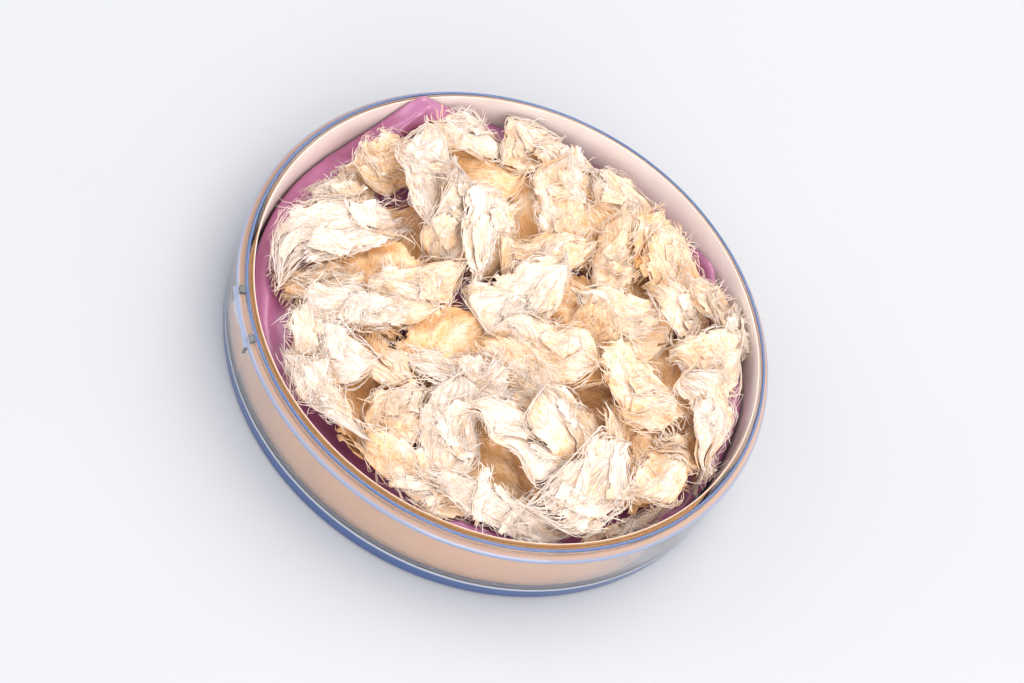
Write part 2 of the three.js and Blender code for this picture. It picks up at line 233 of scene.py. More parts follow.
# The same polystyrene where it is seen end on: half clear, half a painted milky blue glow, with
# pale painted highlight lines.
styrene_with_painted_glow = new_finish("clear_styrene_painted_edge_glow")
spot = add(styrene_with_painted_glow, "TexCoord").outputs["Object"]
height = add(styrene_with_painted_glow, "SeparateXYZ", Vector=spot).outputs["Z"]
share = add(styrene_with_painted_glow, "MapRange", Value=height, From_Min=0.0, From_Max=WALL_TOP * MM)
painted_blue_glow = add(styrene_with_painted_glow, "ValToRGB", stops=PAINTED_GLOW_BANDS, Fac=share.outputs[0])
close_styrene(styrene_with_painted_glow, painted_blue_glow.outputs["Color"], 0.06, 0.5)
print("finish", styrene_with_painted_glow.name, "has", len(PAINTED_GLOW_BANDS), "colours up the wall")

# %% [markdown]
# Now the tray is finished. Each face whose middle lies in one of the edge zones gets the finish
# with the painted glow and highlight lines, and all others the clear one. The shading of the flat
# stretches is kept even, so that the round edges and not the facets carry the bright lines.

# %% The finished tray
# Faces in these zones get the painted glow and highlight lines.
PAINTED_GLOW_ZONES = [  # least radius, then lowest and highest place, in millimetres
    (NECK_IN, -1.0, FOOT_CLEAR - 0.05),
    (BOX_OUT - 1.3, LEDGE - 1.2, LEDGE - 0.01),
    (NECK_OUT - 0.1, LEDGE - 0.1, LEDGE + 0.1),
    (0, WALL_TOP - 0.35, WALL_TOP + 1.0),
]
tray = finished("clear_tray", tray_form, clear_styrene, "clear_box")
tray.data.materials.append(styrene_with_painted_glow)
for side in tray.data.polygons:
    out, high = side.center.xy.length / MM, side.center.z / MM
    side.material_index = int(any(out > least and low < high < top
                                  for least, low, top in PAINTED_GLOW_ZONES))
tray.modifiers.new("even_shading", "WEIGHTED_NORMAL").keep_sharp = True
print("edge faces:", sum(side.material_index for side in tray.data.polygons))

# %% [markdown]
# The card is one strip bent to a ring inside the wall. Its section is a thin upright bar whose cut
# top edge is slightly rounded by the knife, spun like the tray.

# %% The card ring's form
CARD_INNER, CARD_OUTER, CARD_LOW, CARD_TOP = 75.5, 76.0, 5, 26.3
card_form = spun([(CARD_INNER, CARD_LOW, 0.1), (CARD_OUTER, CARD_LOW, 0.1),
                  (CARD_OUTER, CARD_TOP, 0.15), (CARD_INNER, CARD_TOP, 0.15)], TURN_STEPS)
print("card ring has", len(card_form.faces), "faces")

# %% [markdown]
# The card has a cream paper inside and a warm facing outside. Under the rim the outside is painted
# dark brown as shade, where it stands in the narrow gap behind the tray's neck. One finish can hold
# all of it, because the distance from the axis says which side a spot is on, and its height says
# how far up.

# %% Faced card
PULP_GRAIN, BLOTCH = 1.11, 16.7  # real pulp is finer, but would not show
# Heights where the outer face turns dark brown: painted shade in the narrow gap behind the tray's
# neck.
GAP_SHADE_LOW, GAP_SHADE_HIGH = 24.2, 25.0
# Paper-faced pulp board: matt, faintly blotched, with a soft grain.
card_board = new_finish("faced_card")
spot = add(card_board, "TexCoord").outputs["Object"]
apart = add(card_board, "SeparateXYZ", Vector=spot)
level = add(card_board, "CombineXYZ", X=apart.outputs["X"], Y=apart.outputs["Y"])
radius = add(card_board, "VectorMath", {"operation": "LENGTH"}, in0=level.outputs[0])
outside = add(card_board, "Math", {"operation": "GREATER_THAN"}, in0=radius.outputs["Value"],
              in1=(CARD_INNER + 0.2) * MM)
rise = add(card_board, "MapRange", Value=apart.outputs["Z"], From_Min=GAP_SHADE_LOW * MM,
           From_Max=GAP_SHADE_HIGH * MM)
pulp = add(card_board, "TexNoise", Vector=spot, Scale=1 / (PULP_GRAIN * MM), Detail=5.0,
           Roughness=0.65).outputs["Fac"]
blotch = add(card_board, "TexNoise", Vector=spot, Scale=1 / (BLOTCH * MM), Detail=3.0)
# The third ramp is that painted shade under the rim, dark brown with the pulp's grain.
inner_face, low_face, gap_shade_face = (
    add(card_board, "ValToRGB", stops=[(0.3, dark), (0.7, light)], Fac=pattern).outputs["Color"]
    for dark, light, pattern in (("e2d4cd", "ece0da", blotch.outputs["Fac"]),
                                 ("ffbc7c", "ffc68a", blotch.outputs["Fac"]),
                                 ("a0744c", "b48a62", pulp)))
outer_face = add(card_board, "Mix", {"data_type": "RGBA"}, in0=rise.outputs[0], in6=low_face,
                 in7=gap_shade_face)
face = add(card_board, "Mix", {"data_type": "RGBA"}, in0=outside.outputs[0], in6=inner_face,
           in7=outer_face.outputs[2])
grain = add(card_board, "Bump", Strength=0.25, Distance=0.1 * MM, Height=pulp)
paper = add(card_board, "BsdfPrincipled", Base_Color=face.outputs[2], Roughness=0.7,
            Specular_IOR_Level=0.3, Normal=grain.outputs[0])
add(card_board, "OutputMaterial", Surface=paper.outputs[0])
finished("card_ring_strip", card_form, card_board, "card_ring")

# %% [markdown]
# The satin is a round cloth pushed into the ring by hand. It lies a little hollow in the middle and
# its edge turns down along the card to the floor. A square net is pressed to a disc, laid on the
# plain solid and smoothed. What is left over of its width hangs down at the edge.

# %% The satin's lie
SATIN_LIE, SATIN_CUT, SATIN_NET, SATIN_EASE, SATIN_LOW = 74.4, 83.5, 130, 6, 15
satin_solid = bmesh.new()
satin_solid.from_mesh(nodes["satin_lining"].data)
satin_top = BVHTree.FromBMesh(satin_solid)
satin_solid.free()
satin_form = bmesh.new()
bmesh.ops.create_grid(satin_form, x_segments=SATIN_NET, y_segments=SATIN_NET, size=1)
for point in satin_form.verts:
    x, y = point.co.x, point.co.y
    disc = Vector((x * math.sqrt(1 - y * y / 2), y * math.sqrt(1 - x * x / 2), 0))
    cut = disc * SATIN_CUT * MM
    reach = cut.length
    lie = min(reach, SATIN_LIE * MM)
    if reach > 0:
        cut *= lie / reach
    hit = satin_top.ray_cast(Vector((cut.x * 0.998, cut.y * 0.998, 0.1)), Vector((0, 0, -1)))[0]
    cut.z = (hit.z if hit else SATIN_LOW * MM) - (reach - lie)
    point.co = cut
for _ in range(SATIN_EASE):
    bmesh.ops.smooth_vert(satin_form, verts=satin_form.verts[:], factor=0.5, use_axis_z=True)
print("satin laid with", len(satin_form.verts), "points")

# %% [markdown]
# Where there was too much cloth it stands up in soft folds, and at the back left it peaks against
# the card's rim. The folds and fine puckers are moved into the cloth point by point, because a
# cloth simulation of so tight a space would take too long.

# %% The satin's folds
FOLDS = [  # middle x and y, heading in degrees, half length, half width, height, in millimetres
    (-49, 47, 42, 19, 2.8, 4.5), (-58, 34, 62, 15, 2.6, 4.8), (46, 55, -48, 10, 2.6, 3.5),
    (70, 14, 98, 11, 2.4, 3.0), (22, -68, 16, 16, 2.4, 2.4), (-22, -68, -18, 15, 2.8, 2.2),
    (-60, -38, -58, 15, 3.0, 2.0), (-67, -16, -86, 16, 2.2, 2.0), (-66, 9, 84, 14, 2.4, 3.4),
    (30, 64, -22, 12, 2.2, 2.0), (58, -42, 55, 14, 2.2, 2.0), (-52, -36, -70, 13, 2.6, 1.6),
]
PEAK_TURN, PEAK_SPREAD, PEAK_RISE = 139, 9, 9.5


def part_way(value, start, length):
    """How far a value has come on its way from the start, from 0 to 1."""
    return min(1.0, max(0.0, (value - start) / length))


def satin_wave(x, y):
    """Height of the folds and puckers in the cloth at a spot, in millimetres."""
    high = 0.0
    for fold_x, fold_y, heading, long, wide, height in FOLDS:
        turn = math.radians(heading)
        ahead = ((x - fold_x) * math.cos(turn) + (y - fold_y) * math.sin(turn)) / long
        aside = ((y - fold_y) * math.cos(turn) - (x - fold_x) * math.sin(turn)) / wide
        aside += 0.5 * noise.noise((x / 9, y / 9, 3))
        high += height * math.exp(-ahead ** 4 - abs(aside) ** 1.6)
    round_turn, reach = math.atan2(y, x), math.hypot(x, y)
    rim = part_way(reach, 38, 30)
    high += rim * 1.6 * noise.noise((round_turn * 7, reach / 26, 0))
    high += rim * 0.8 * noise.noise((round_turn * 19, reach / 13, 5))
    return high + 0.24 * noise.noise((x / 2.4, y / 2.4, 9))


for point in satin_form.verts:
    x, y = point.co.x / MM, point.co.y / MM
    reach = math.hypot(x, y)
    off_peak = (math.degrees(math.atan2(y, x)) - PEAK_TURN) / PEAK_SPREAD
    peak = PEAK_RISE * part_way(reach, 62, 12) ** 1.5 * math.exp(-abs(off_peak) ** 1.3)
    point.co.z += ((1 - part_way(reach, 71.5, 2.5)) * satin_wave(x, y) + peak) * MM
bmesh.ops.recalc_face_normals(satin_form, faces=satin_form.faces[:])
satin_area = sum(f.calc_area() for f in satin_form.faces)
print("satin cloth area %.4f square metres" % satin_area)

# %% [markdown]
# Satin shines because long threads float over the weave. It gets a low roughness, a strong soft
# sheen and a fine ribbed bump along its threads, read from the cloth's own flat map in millimetres.

# %% Pink satin
THREAD_FLOAT, THREADS_PER_MM, DYE_CLOUD, CLOTH_THICK = 4, 6, 16.7, 0.2
weave = satin_form.loops.layers.uv.new("weave")
for cloth_face in satin_form.faces:
    for corner in cloth_face.loops:
        corner[weave].uv = corner.vert.co.xy / MM
# Dyed polyester satin: a smooth bright lustre on the folds, deep pink in between.
pink_satin = new_finish("pink_satin")
cloth_map = add(pink_satin, "UVMap", {"uv_map": "weave"}).outputs[0]
along_threads = add(pink_satin, "Mapping", Vector=cloth_map,
                    Scale=(1 / THREAD_FLOAT, THREADS_PER_MM, 1.0)).outputs[0]
threads = add(pink_satin, "TexNoise", Vector=along_threads, Scale=1.0, Detail=2.0)
cloudy = add(pink_satin, "TexNoise", Vector=cloth_map, Scale=1 / DYE_CLOUD, Detail=3.0)
dye = add(pink_satin, "ValToRGB", stops=[(0.3, "98527a"), (0.7, "b06a93")],
          Fac=cloudy.outputs["Fac"])
ribs = add(pink_satin, "Bump", Strength=0.25, Distance=0.08 * MM, Height=threads.outputs["Fac"])
cloth = add(pink_satin, "BsdfPrincipled", Base_Color=dye.outputs["Color"], Roughness=0.3,
            Specular_IOR_Level=0.9, Sheen_Weight=0.2, Sheen_Roughness=0.35,
            Sheen_Tint=paint("f4c4e4"), Normal=ribs.outputs[0])
add(pink_satin, "OutputMaterial", Surface=cloth.outputs[0])
satin = finished("satin_cloth", satin_form, pink_satin, "satin_lining")
satin.modifiers.new("cloth_thickness", "SOLIDIFY").thickness = CLOTH_THICK * MM

# %% [markdown]
# A nest shred is a torn piece of a cup that a swiftlet builds from strands of drying saliva. The
# strands run roughly side by side, fuse into thin sheets, and part again where the piece was torn.
# Each plain solid gives the shred's lie. Its own directions come from its corners: along the
# strands, across them and out of its face. The wider end is the torn one.

# %% The directions of a shred
shred_names = sorted(name for name in nodes if name.startswith("nest_shred"))


def tree_of(names):
    """A search tree of the faces of those solids."""
    together = bmesh.new()
    for name in names:
        together.from_mesh(nodes[name].data)
    tree = BVHTree.FromBMesh(together)
    together.free()
    return tree


def own_directions(corners):
    """Directions along, across and out of a shred, from its corners around their middle."""
    along, across = np.linalg.svd(corners, full_matrices=False)[2][:2]
    out = np.cross(along, across)
    if out[2] < 0:
        across, out = -across, -out
    reach, side = corners @ along, corners @ across
    far, near = reach > np.quantile(reach, 0.8), reach < np.quantile(reach, 0.2)
    if np.ptp(side[far]) < np.ptp(side[near]):
        along, across = -along, -across
    return along, across, out


print("shreds to dress:", len(shred_names))

# %% [markdown]
# A place on the shred's face goes by s along it and t across it, each from -1 to 1. To know where
# the face ends at the sides, the solid is felt with rays in rows across it, and a smooth curve is
# fitted through the ends of the rows.

# %% The face of a shred
LIE_ALONG, LIE_ACROSS, FEELERS = 5, 4, 41
spots_along = np.linspace(-0.96, 0.96, 15)
spots_across = np.linspace(-0.92, 0.92, 9)
legendre = np.polynomial.legendre


class Face:
    """The directions of one shred and the edges of its face."""

    def __init__(self, name):
        self.tree = tree_of([name])
        corners = np.array([v.co for v in nodes[name].data.vertices])
        self.middle = corners.mean(0)
        self.along, self.across, self.out = own_directions(corners - self.middle)
        reach = (corners - self.middle) @ self.along
        side = (corners - self.middle) @ self.across
        self.start, self.end = reach.min(), reach.max()
        low_edge, high_edge = [], []
        feelers = np.linspace(side.min(), side.max(), FEELERS)
        for s in spots_along:
            inside = [c for c in feelers if self.skin(self.reach(s), c)[0] is not None]
            low_edge.append(inside[0] if inside else feelers[10])
            high_edge.append(inside[-1] if inside else feelers[-11])
        self.low_edge = legendre.legfit(spots_along, low_edge, LIE_ALONG)
        self.high_edge = legendre.legfit(spots_along, high_edge, LIE_ALONG)
        self.long = (self.end - self.start) / MM
        self.wide = float(abs(self.side(0.2, 1) - self.side(0.2, -1))) / MM

    def reach(self, s):
        """Distance of a spot along the shred from its middle."""
        return self.start + (self.end - self.start) * (np.asarray(s) + 1) / 2

    def side(self, s, t):
        """Distance of a spot across the shred from its middle."""
        low, high = legendre.legval(s, self.low_edge), legendre.legval(s, self.high_edge)
        return low + (high - low) * (np.asarray(t) + 1) / 2

    def skin(self, reach, side):
        """Heights of the solid's upper and lower skin at a spot, along the way out."""
        spot = Vector(self.middle + reach * self.along + side * self.across)
        out = Vector(self.out)
        top = self.tree.ray_cast(spot + out * 0.05, -out)[0]
        bottom = self.tree.ray_cast(spot - out * 0.05, out)[0]
        if top is None or bottom is None:
            return None, None
        return (top - spot).dot(out), (bottom - spot).dot(out)


# %% [markdown]
# The sheets of a shred need one smooth middle surface. It is fitted through the middles between the
# solid's upper and lower skin. From the same spots rays go up to the sky: the share of them that
# other shreds stop says how deep in the heap a spot lies, and so how much painted shade it gets, as
# a more golden tone.

# %% The lie of a shred
SHADE_RISE, SHADE_REACH = 1.2, 30
heap = tree_of(shred_names)
sky = [Vector((math.cos(a) * math.cos(e), math.sin(a) * math.cos(e), math.sin(e)))
       for e, count in ((0.45, 6), (0.95, 4), (1.5, 1))
       for a in np.linspace(0, 2 * math.pi, count, False)]


class Lie(Face):
    """Where one shred lies: its face, its middle surface and how deep in the heap it is."""

    def __init__(self, name):
        super().__init__(name)
        rows, heights, shade, thick = [], [], [], []
        for s, t in ((s, t) for s in spots_along for t in spots_across):
            reach, side = self.reach(s), self.side(s, t)
            top, bottom = self.skin(reach, side)
            if top is None:
                continue
            rows.append((s, t))
            heights.append(0.5 * (top + bottom))
            thick.append(top - bottom)
            eye = Vector(self.middle + reach * self.along + side * self.across
                         + (top + SHADE_RISE * MM) * self.out)
            stopped = [heap.ray_cast(eye, ray, SHADE_REACH * MM)[0] is not None for ray in sky]
            shade.append(sum(stopped) / len(sky))
        base = legendre.legvander2d(*np.array(rows).T, [LIE_ALONG, LIE_ACROSS])
        self.height_fit = np.linalg.lstsq(base, np.array(heights), rcond=1e-3)[0]
        self.shade_fit = np.linalg.lstsq(base, np.array(shade), rcond=1e-2)[0]
        self.thick = float(np.median(thick))

    def fitted(self, s, t, fit):
        """Values of a fitted surface at those spots."""
        s, t = np.clip(s, -1, 1), np.clip(t, -1, 1)
        return legendre.legvander2d(s, t, [LIE_ALONG, LIE_ACROSS]) @ fit

    def at(self, s, t, lift):
        """Places on the shred, lifted out of its middle surface."""
        s, t = np.asarray(s, float), np.asarray(t, float)
        reach, side = self.reach(s), self.side(np.clip(s, -1, 1), t)
        high = self.fitted(s, t, self.height_fit) + lift
        return (self.middle + reach[..., None] * self.along + side[..., None] * self.across
                + high[..., None] * self.out)

    def shade_at(self, s, t):
        """How deep in the heap those spots lie, from 0 to 1."""
        return np.clip(self.fitted(s, t, self.shade_fit), 0, 1)


lies = {name: Lie(name) for name in shred_names}
print("lies found for", len(lies), "shreds")

# %% [markdown]
# Sheets and strands are laid on the shred's face, and both must follow the same crumpled ground. A
# patch is that ground: a part of the face, maybe turned on it or lifted off it as a flap, on which
# a place goes by x along the strands and y across them, each from -1 to 1. Its crumpling is two
# kinds of smooth random waves: broad swells, and creases made by folding the waves over at zero.

# %% The crumpled ground
SWELL, SWELL_SIZE, CREASE, CREASE_SIZE = 1.5, (11, 7), 1.8, (9, 5.5)


def ripple(along, across, seed, octaves=1):
    """Smooth random waves from about -1 to 1, at places measured in wavelengths."""
    waves = [noise.fractal((u, v, seed), 1.0, 2.0, octaves)
             for u, v in zip(along.ravel(), across.ravel())]
    return np.reshape(waves, along.shape)


class Patch:
    """A part of a shred's face that sheets and strands are laid on."""

    def __init__(self, lie, seed, lift, span, width, turn=0.0, curl=0.0):
        self.lie, self.seed, self.lift, self.span, self.width = lie, seed, lift, span, width
        self.turn, self.curl = turn, curl
        self.long = lie.long * (span[1] - span[0]) / 2
        self.wide = lie.wide * (width[1] - width[0]) / 2
        self.ahead = lie.along * math.cos(turn) + lie.across * math.sin(turn)

    def spot(self, x, y):
        """The same place on the whole face."""
        ahead = x * math.cos(self.turn) - y * math.sin(self.turn) * self.wide / self.long
        aside = y * math.cos(self.turn) + x * math.sin(self.turn) * self.long / self.wide
        s = self.span[0] + (ahead + 1) / 2 * (self.span[1] - self.span[0])
        return s, self.width[0] + (aside + 1) / 2 * (self.width[1] - self.width[0])

    def dents(self, x, y):
        """How far the ground stands out or in where the shred was crushed, in millimetres."""
        s, t = self.spot(x, y)
        u, v = s * self.lie.long / 2, t * self.lie.wide / 2
        swells = ripple(u / SWELL_SIZE[0], v / SWELL_SIZE[1], self.seed, 2)
        folded = np.abs(ripple(u / CREASE_SIZE[0], v / CREASE_SIZE[1], self.seed + 2, 2))
        edge = np.clip(np.maximum(np.abs(x), np.abs(y)), 0, 1.2)
        return SWELL * swells + CREASE * (0.32 - folded) + self.curl * edge ** 4

    def at(self, x, y, up):
        """Places on the patch, lifted by millimetres."""
        s, t = self.spot(x, y)
        return self.lie.at(s, t, self.lift + up * MM)

    def shade(self, x, y):
        """How deep in the heap those places lie."""
        return self.lie.shade_at(*self.spot(x, y))


# %% [markdown]
# A sheet of a shred is a net with its long cells along the strands. Whole cells are taken out where
# the sheet is torn: strand by strand at the frayed end, in nicks along the sides, and in long slits
# where strands parted. Random waves that are long along the strands decide which cells go.

# %% Where a sheet is torn
def torn_away(x, y, u, v, mark, fray, lace):
    """Which places of a sheet are torn away. u and v are x and y in millimetres."""
    rim = (np.abs(x) ** 3 + np.abs(y) ** 3) ** (1 / 3)
    nicks = 0.2 * ripple(u / 5, v / 4, mark + 13, 2) + 0.14 * ripple(u / 1.8, v / 1.2, mark + 14)
    lanes = 0.5 + 0.5 * ripple(u * 0 + 0.5, v / 0.9, mark + 11, 2)
    slits = ripple(u / 4.5, v / 1.1, mark + 17, 2)
    torn = rim > 0.88 + nicks
    torn |= x > 0.98 - 1.1 * fray * lanes
    torn |= slits > lace - 0.5 * fray * (1 + x) - 0.25 * rim
    return torn


# %% [markdown]
# The cells that are left are laid on the patch, rippled like fused strands and given a paper's
# thickness. Each point also keeps its tone with painted shade, more golden deep in the heap, in the
# crumple's hollows and between fused strands, and each corner its place on the flat sheet, so that
# the finish can follow the strands.

# %% A torn sheet
SHEET_THICK = 0.2


def torn_sheet(form, patch, golden_tone_and_shade, cell, fray=0.2, lace=1.1, mark=0.0):
    """Adds a torn sheet that lies on the patch to the form."""
    net = bmesh.new()
    shaded_tone = net.verts.layers.float.new("golden_tone_and_shade")
    strand_map = net.loops.layers.uv.new("strand")
    bmesh.ops.create_grid(net, x_segments=max(6, round(patch.long / cell[0])),
                          y_segments=max(5, round(patch.wide / cell[1])), size=1)
    x, y = np.array([corner.co.xy for corner in net.verts]).T
    u, v = x * patch.long / 2, y * patch.wide / 2
    mark += patch.seed
    dents = patch.dents(x, y)
    fibres = 0.3 * ripple(u / 3.2, v / 1.1, mark + 7, 2)
    places = patch.at(x, y, dents + fibres)
    # Painted shade: the tone turns more golden deep in the heap, in the crumple's hollows and in
    # the grooves between fused strands.
    shade = (golden_tone_and_shade + 0.55 * patch.shade(x, y) - 0.2 * dents - 0.3 * fibres
             + 0.15 * ripple(u / 12, v / 7, mark + 1))
    torn = torn_away(x, y, u, v, mark, fray, lace)
    for corner, place, value in zip(net.verts, places, np.clip(shade, 0, 1)):
        corner.co = place
        corner[shaded_tone] = value
    net.verts.index_update()
    for face in net.faces:
        for corner in face.loops:
            i = corner.vert.index
            corner[strand_map].uv = (u[i], v[i])
    gone = [face for face in net.faces if sum(torn[corner.index] for corner in face.verts) >= 2]
    bmesh.ops.delete(net, geom=gone, context="FACES")
    lone = [corner for corner in net.verts if not corner.link_faces]
    bmesh.ops.delete(net, geom=lone, context="VERTS")
    copy = bmesh.ops.extrude_face_region(net, geom=net.faces[:], use_keep_orig=True)["geom"]
    net.normal_update()
    for corner in copy:
        if isinstance(corner, bmesh.types.BMVert):
            corner.co -= corner.normal * SHEET_THICK * MM
    bmesh.ops.recalc_face_normals(net, faces=net.faces[:])
    mesh = bpy.data.meshes.new("sheet")
    net.to_mesh(mesh)
    net.free()
    form.from_mesh(mesh)
    bpy.data.meshes.remove(mesh)


# %% [markdown]
# Single strands and frayed hairs are far too many to model one by one, so they are worked out
# together as arrays. Each is a thin three-sided tube along its path: at every step of the path
# three points stand round it, and walls join them to the next three.

# %% Thin tubes
RINGS, SIDES = 6, 3
ring_turns = np.linspace(0, 2 * math.pi, SIDES, False)[:, None]


def of_length_one(arrows):
    """The same directions, each of length one."""
    return arrows / (np.linalg.norm(arrows, axis=2, keepdims=True) + 1e-12)


def tubes(path, radius, out):
    """Points and faces of tubes along the paths, one path a row."""
    ahead = np.gradient(path, axis=1)
    side = of_length_one(np.cross(ahead, out))
    top = of_length_one(np.cross(side, ahead))
    ring_out = np.cos(ring_turns) * side[:, :, None, :] + np.sin(ring_turns) * top[:, :, None, :]
    points = path[:, :, None, :] + radius[:, :, None, None] * ring_out
    start = np.arange(len(path))[:, None, None] * RINGS * SIDES
    this = start + np.arange(RINGS - 1)[None, :, None] * SIDES
    corner = np.arange(SIDES)[None, None, :]
    after = (corner + 1) % SIDES
    walls = np.stack([this + corner, this + after, this + SIDES + after, this + SIDES + corner], -1)
    first_cap = start[:, 0, :] + np.arange(SIDES)[::-1]
    last_cap = start[:, 0, :] + (RINGS - 1) * SIDES + np.arange(SIDES)
    faces = walls.reshape(-1, 4).tolist() + first_cap.tolist() + last_cap.tolist()
    return points.reshape(-1, 3).tolist(), faces


# %% [markdown]
# A strand sways along the patch and thins to both ends. Most run with the shred, some slant across
# it so that they net together, those at the sides bow out in loops, and those at the torn end may
# run out past it as hairs.

# %% Strands and hairs
def strands(form, patch, chance, count, golden_tone_and_shade, begin=(-1.05, 0.85), run=(2.5, 6.5), slanted=0.6,
            over=(0, 0), bow=(0, 0), thick=(0.08, 0.16), lanes=(0, 1.0)):
    """Adds strands on the patch to the form. Lengths are in millimetres."""
    def draw(low, high):
        return chance.uniform(low, high, (count, 1))

    steps = np.linspace(0, 1, RINGS)
    arch = np.sin(steps * math.pi)
    length = draw(*run)
    lane = draw(*lanes) * chance.choice([-1, 1], (count, 1))
    slant = chance.normal(0, 1, (count, 1)) * np.where(draw(0, 1) < slanted, 0.8, 0.1)
    sway = draw(0.1, 0.4) * np.sin(steps * draw(2, 7) + draw(0, 6.28))
    aside = slant * length * (steps - 0.5) + sway + np.sign(lane) * draw(*bow) * arch
    x = np.minimum(draw(*begin) + steps * length * 2 / patch.long, 1.05)
    y = lane + aside * 2 / patch.wide
    up = draw(-0.08, 0.08) + draw(0, 0.3) * arch
    dents = patch.dents(x, y)
    path = patch.at(x.ravel(), y.ravel(), (dents + up).ravel()).reshape(count, RINGS, 3)
    gone = np.clip((steps - 0.25) / 0.75, 0, 1)[None, :, None] ** 1.4
    lie = patch.lie
    stray = draw(-0.6, 0.6)[:, :, None] * lie.across + draw(-0.2, 0.5)[:, :, None] * lie.out
    path = path + draw(*over)[:, :, None] * MM * gone * (patch.ahead + stray * gone)
    radius = draw(*thick) * MM * (1 - 0.75 * np.abs(2 * steps - 1) ** 4)
    points, faces = tubes(path, radius, lie.out)
    mesh = bpy.data.meshes.new("strands")
    mesh.from_pydata(points, [], faces)
    depth = patch.shade(x.ravel(), y.ravel()).reshape(x.shape)
    # Painted shade: strands turn more golden deep in the heap and in the crumple's hollows.
    shade = golden_tone_and_shade + 0.4 * depth - 0.08 * dents + chance.normal(0, 0.07, (count, 1))
    shade = np.clip(np.repeat(shade.ravel(), SIDES), 0, 1)
    mesh.attributes.new("golden_tone_and_shade", "FLOAT", "POINT").data.foreach_set("value", shade)
    flat = np.stack([np.repeat((x * patch.long / 2).ravel(), SIDES),
                     np.repeat((0 * x + lane * 40).ravel(), SIDES)], -1)
    corners = np.empty(len(mesh.loops), int)
    mesh.loops.foreach_get("vertex_index", corners)
    mesh.uv_layers.new(name="strand").data.foreach_set("uv", flat[corners].ravel())
    form.from_mesh(mesh)
    bpy.data.meshes.remove(mesh)


# %% [markdown]
# Seen close, nest cement is a net: strands fuse where they cross and leave small pits between. The
# pattern has fine lines and broad bands along the strands, and a net of bent cells for the pits,
# all read from the flat map in millimetres, so that they follow every shred.

# %% The pattern of nest cement
FINE_LINES, BROAD_LINES, NET_CELLS = (3, 0.5), (16, 2), (2.6, 1.1)
nest_cement = new_finish("dried_nest_cement")
strand_spot = add(nest_cement, "UVMap", {"uv_map": "strand"}).outputs[0]
fine_spot, broad_spot, net_spot = (
    add(nest_cement, "Mapping", Vector=strand_spot, Scale=(1 / long, 1 / wide, 1.0)).outputs[0]
    for long, wide in (FINE_LINES, BROAD_LINES, NET_CELLS))
fine = add(nest_cement, "TexNoise", Vector=fine_spot, Scale=1.0, Detail=4.0, Roughness=0.6)
broad = add(nest_cement, "TexNoise", Vector=broad_spot, Scale=1.0, Detail=3.0)
bend = add(nest_cement, "TexNoise", Vector=net_spot, Scale=0.9, Detail=2.0)
bent_spot = add(nest_cement, "VectorMath", {"operation": "MULTIPLY_ADD"},
                in0=bend.outputs["Color"], in1=(1.4, 1.4, 0.0), in2=net_spot)
cells = add(nest_cement, "TexVoronoi", {"feature": "DISTANCE_TO_EDGE"},
            Vector=bent_spot.outputs[0], Scale=1.0)
pits = add(nest_cement, "MapRange", Value=cells.outputs["Distance"], From_Min=0.04,
           From_Max=0.32).outputs[0]
print("pits of the net are", NET_CELLS, "millimetres long and wide")

# %% [markdown]
# Dried nest cement is cream where it is thin and turns golden where it is thick. The gold in
# hollows, in the pits and deep in the heap is painted shade. The finish reads each spot's tone with
# its painted shade from the shred itself, adds the bands and the painted shade of the pits, streaks
# it along the strands, and lets a little light pass through.

# %% Dried nest cement
# Hardened bird saliva: half matt like parchment, slightly see-through, with raised strands.
SCATTER = (0.6 * MM, 0.45 * MM, 0.3 * MM)
depth = add(nest_cement, "Attribute", {"attribute_name": "golden_tone_and_shade"}).outputs["Fac"]
swing = add(nest_cement, "Math", {"operation": "MULTIPLY_ADD"}, in0=broad.outputs["Fac"], in1=0.5,
            in2=-0.3)
# Painted shade: the pits of the net are made more golden, on top of the painted shade that each
# shred carries.
deeper = add(nest_cement, "Math", {"operation": "MULTIPLY_ADD"}, in0=pits, in1=0.34,
             in2=swing.outputs[0])
shaded_tone = add(nest_cement, "Math", {"operation": "ADD", "use_clamp": True}, in0=depth,
            in1=deeper.outputs[0])
cement = add(nest_cement, "ValToRGB", Fac=shaded_tone.outputs[0],
             stops=[(0.0, "e9ddd6"), (0.25, "ead5c0"), (0.6, "e8c196"), (1.0, "dba56c")])
streak = add(nest_cement, "ValToRGB", Fac=fine.outputs["Fac"],
             stops=[(0.3, "f0dcc2"), (0.55, "ffffff")])
colour = add(nest_cement, "Mix", {"data_type": "RGBA", "blend_type": "MULTIPLY"}, in0=0.6,
             in6=cement.outputs["Color"], in7=streak.outputs["Color"])
relief = add(nest_cement, "Math", {"operation": "MULTIPLY_ADD"}, in0=pits, in1=-0.7,
             in2=fine.outputs["Fac"])
ridges = add(nest_cement, "Bump", Strength=0.55, Distance=0.25 * MM, Height=relief.outputs[0])
skin = add(nest_cement, "BsdfPrincipled", Base_Color=colour.outputs[2], Roughness=0.55,
           Specular_IOR_Level=0.3, Subsurface_Weight=0.1, Subsurface_Radius=SCATTER,
           Subsurface_Scale=1.0, Sheen_Weight=0.12, Sheen_Roughness=0.5,
           Sheen_Tint=paint("fff6ec"), Normal=ridges.outputs[0])
add(nest_cement, "OutputMaterial", Surface=skin.outputs[0])
print("finish", nest_cement.name, "has", len(nest_cement.node_tree.nodes), "nodes")

# %% [markdown]
# No two shreds are alike. What sets them apart is noted by the shred's number: the lowest ones are
# golden because little light reaches them, some are frayed to hairs at their end, some are combed
# with long strands, some are whiter or darker, and some have to end short of the wall.

